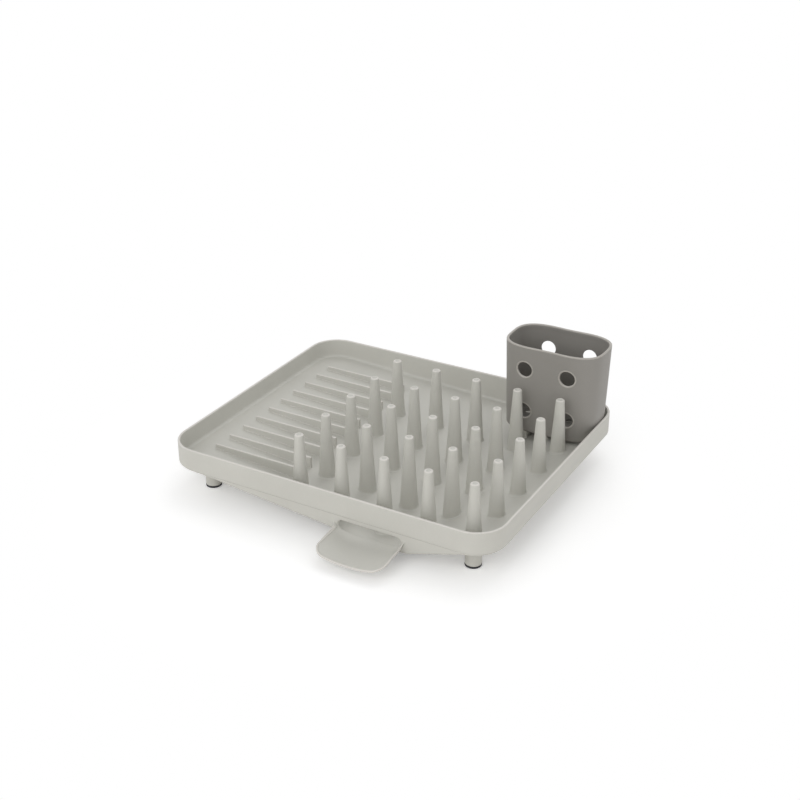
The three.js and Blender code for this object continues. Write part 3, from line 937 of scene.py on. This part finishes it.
drip_hole_radius = 0.008
drip_hole_round = 0.0012
drip_hole_inner_round = 0.0005
drip_hole_spacing = 0.0468
drip_hole_rise_shares = (0.257, 0.738)
collar_radius = 0.0097
collar_rise = 0.0003
collar_round = 0.0005
hole_points = 56
drip_hole_places = [(across, holder_base + (holder_top - holder_base) * share)
                    for share in drip_hole_rise_shares
                    for across in (-drip_hole_spacing / 2, drip_hole_spacing / 2)]


def wall_cutter(name, across, level, side, profile):
    """Closed plug through the holder's long wall, from radii and their distances out from the wall."""
    plug_rows = []
    for radius, depth in profile:
        u, v = circle(across, level, radius, hole_points)
        out = holder_wall_out(u, v) + depth
        plug_rows.append(np.column_stack([holder_x + u, holder_y + side * out, v]))
    return stacked_piece(name, plug_rows)


hole_profile = [(drip_hole_radius + drip_hole_inner_round, -2 * holder_wall)]
hole_profile += [(drip_hole_radius + drip_hole_inner_round * (1 - math.sin(a)),
                  -holder_wall + drip_hole_inner_round * (1 - math.cos(a))) for a in quarter]
hole_profile += [(drip_hole_radius + drip_hole_round * (1 - math.cos(a)),
                  collar_rise - drip_hole_round * (1 - math.sin(a))) for a in quarter]
hole_profile += [(drip_hole_radius + drip_hole_round, collar_rise + drip_hole_round)]
collar_profile = [(drip_hole_radius - drip_hole_round, -holder_wall / 2), (collar_radius, -holder_wall / 2)]
collar_profile += [(collar_radius - collar_round * (1 - math.cos(a)),
                    collar_rise - collar_round * (1 - math.sin(a))) for a in quarter]
collar_profile += [(drip_hole_radius - drip_hole_round, collar_rise)]
collars = []
cutters = []
for across, level in drip_hole_places:
    for side in (-1, 1):
        collars.append(wall_cutter("drip_collar", across, level, side, collar_profile))
        cutters.append(wall_cutter("drip_hole", across, level, side, hole_profile))
combine(cutlery_holder, collars, "UNION")

drain_hole_radius = 0.004
drain_hole_round = 0.0006
drain_hole_spacing = 0.0235
drain_hole_offset = 0.013
drain_overrun = 0.001
drain_profile = [(drain_hole_radius, holder_base - drain_overrun)]
drain_profile += [(drain_hole_radius + drain_hole_round * (1 - math.cos(a)),
                   inner_base - drain_hole_round * (1 - math.sin(a))) for a in quarter]
drain_profile += [(drain_hole_radius + drain_hole_round, inner_base + drain_overrun)]
for halves in (-3, -1, 1, 3):
    for side in (-1, 1):
        x = holder_x + halves * drain_hole_spacing / 2
        y = holder_y + side * drain_hole_offset
        cutters.append(stacked_piece("drain_hole", turned_rows(x, y, drain_profile, hole_points)))
combine(cutlery_holder, cutters, "DIFFERENCE")


def on_holder_edge(x, y, z):
    """The rim, and the rounded outer edges of the drip holes with their collars, which get a painted
    highlight.
    """
    chosen = z > holder_top - holder_rim_round
    across, side = x - holder_x, np.abs(y - holder_y)
    outside = side - holder_wall_out(across, z) > -drip_hole_round
    for middle, level in drip_hole_places:
        chosen |= outside & (np.hypot(across - middle, z - level) < collar_radius)
    return chosen


holder_plastic = moulded_plastic(
    "holder_plastic", from_srgb(137, 134, 129), from_srgb(156, 153, 148), roughness=0.5, depth=grain_depth)
# Paler, smoother plastic for the holder's edges: the lower roughness is a smoother finish, and the paler
# colour is a painted highlight on the rim and round the drip holes.
holder_edge_painted_highlight = moulded_plastic(
    "holder_edge_painted_highlight", from_srgb(164, 160, 153), from_srgb(184, 180, 173), roughness=0.34, depth=fine_grain_depth)
cutlery_holder.data.materials.clear()
finish_piece(cutlery_holder, holder_plastic, "holder", "holder_plastic", "cutlery_holder")
# Painted highlight on the holder's rim and on the drip holes' collars.
paint_faces(cutlery_holder, holder_edge_painted_highlight, on_holder_edge)

# Studio. A plain pale floor that keeps the rack's shadow and fades to white further off, an even sky and
# two large soft lamps, one in front of the rack and a higher one behind it.
studio_half = 14
white = (1, 1, 1, 1)
floor_bounce = (0.87, 0.85, 0.82, 1)
floor_lift = 0.2
fade_start = 0.16
fade_end = 0.36
sky_zenith = 0.5
sky_horizon = 0.96
floor_mesh = bpy.data.meshes.new("studio_floor")
floor_corners = [(x * studio_half, y * studio_half, 0) for x, y in ((-1, -1), (1, -1), (1, 1), (-1, 1))]
floor_mesh.from_pydata(floor_corners, [], [(0, 1, 2, 3)])
studio_floor = bpy.data.objects.new("studio_floor", floor_mesh)
bpy.context.scene.collection.objects.link(studio_floor)


def seen_share(paint):
    """1 for the rays that show the background: straight to the camera, or by a reflection or glass."""
    share = 0
    for ray in ("Is Camera Ray", "Is Glossy Ray", "Is Transmission Ray"):
        share = paint.node("ShaderNodeLightPath", output=ray) + share
    return paint.node("ShaderNodeClamp", inputs={"Value": share})


floor_paint = bpy.data.materials.new("studio_floor")
floor_paint.use_nodes = True
floor_nodes = Paint(floor_paint.node_tree)
floor_shader = floor_paint.node_tree.nodes["Principled BSDF"]
floor_shader.inputs["Base Color"].default_value = floor_bounce
floor_shader.inputs["Roughness"].default_value = 1
floor_where = floor_nodes.node("ShaderNodeTexCoord", output="Object")
distance = floor_nodes.node("ShaderNodeVectorMath", {"operation": "LENGTH"}, {0: floor_where}, "Value")
fade = floor_nodes.node("ShaderNodeMapRange", {"interpolation_type": "SMOOTHSTEP"},
                        {"Value": distance, "From Min": fade_start, "From Max": fade_end})
shaded = floor_nodes.node("ShaderNodeBsdfDiffuse", inputs={"Color": white})
raised = floor_nodes.node("ShaderNodeEmission", inputs={"Color": white, "Strength": floor_lift})
near_floor = floor_nodes.node("ShaderNodeAddShader", inputs={0: shaded, 1: raised})
far_floor = floor_nodes.node("ShaderNodeEmission", inputs={"Color": white, "Strength": 1})
seen_floor = floor_nodes.node("ShaderNodeMixShader", inputs={0: fade, 1: near_floor, 2: far_floor})
lit_floor = Paint(floor_paint.node_tree, floor_shader.outputs[0])
floor_surface = floor_nodes.node(
    "ShaderNodeMixShader", inputs={0: seen_share(floor_nodes), 1: lit_floor, 2: seen_floor})
floor_paint.node_tree.links.new(
    floor_surface.socket, floor_paint.node_tree.nodes["Material Output"].inputs["Surface"])
floor_mesh.materials.append(floor_paint)

world = bpy.data.worlds.new("studio")
world.use_nodes = True
bpy.context.scene.world = world
sky = Paint(world.node_tree)
sky_way = sky.node("ShaderNodeTexCoord", output="Generated")
sky_height = sky.node("ShaderNodeSeparateXYZ", inputs={0: sky_way}, output="Z")
sky_light = sky_horizon - (sky_horizon - sky_zenith) * sky_height
sky_seen = seen_share(sky)
background = world.node_tree.nodes["Background"]
background.inputs["Color"].default_value = white
world.node_tree.links.new((sky_light + (1 - sky_light) * sky_seen).socket, background.inputs["Strength"])

lamp_distance = 2.6
lamp_size = 1.6
lamp_aim = 0.05


def soft_lamp(name, side_degrees, height_degrees, power):
    """Large square lamp that faces the rack, turned round it from the front towards the right."""
    side, height = math.radians(side_degrees), math.radians(height_degrees)
    lamp = bpy.data.lights.new(name, "AREA")
    lamp.shape = "SQUARE"
    lamp.size = lamp_size
    lamp.energy = power
    item = bpy.data.objects.new(name, lamp)
    item.location = lamp_distance * Vector((
        math.cos(height) * math.sin(side), -math.cos(height) * math.cos(side), math.sin(height)))
    way = Vector((0, 0, lamp_aim)) - item.location
    item.rotation_euler = way.to_track_quat("-Z", "Y").to_euler()
    bpy.context.scene.collection.objects.link(item)


soft_lamp("front_lamp", side_degrees=0, height_degrees=35, power=14.2)
soft_lamp("rear_lamp", side_degrees=185, height_degrees=62, power=9.5)

# Camera, fitted to the photograph's view of the tray.
camera_place = (0.6021, -1.0340, 0.6943)
camera_yaw = math.radians(29.875)
camera_pitch = math.radians(26.63)
camera_roll = math.radians(-0.184)
camera_sensor_mm = 36
camera_lens_mm = 59.955
camera_shift = (0.0075, -0.0040)
camera_clip = (0.05, 40)
camera = bpy.data.objects.new("camera", bpy.data.cameras.new("camera"))
bpy.context.scene.collection.objects.link(camera)
bpy.context.scene.camera = camera
camera.data.sensor_width = camera_sensor_mm
camera.data.lens = camera_lens_mm
camera.data.shift_x, camera.data.shift_y = camera_shift
camera.data.clip_start, camera.data.clip_end = camera_clip
forward = Vector((
    -math.sin(camera_yaw) * math.cos(camera_pitch),
    math.cos(camera_yaw) * math.cos(camera_pitch),
    -math.sin(camera_pitch)))
level = Vector((math.cos(camera_yaw), math.sin(camera_yaw), 0))
above = level.cross(forward)
right = level * math.cos(camera_roll) + above * math.sin(camera_roll)
up = above * math.cos(camera_roll) - level * math.sin(camera_roll)
camera.matrix_world = Matrix((
    (right.x, up.x, -forward.x, camera_place[0]),
    (right.y, up.y, -forward.y, camera_place[1]),
    (right.z, up.z, -forward.z, camera_place[2]),
    (0, 0, 0, 1)))

bpy.context.scene.view_settings.view_transform = "Standard"
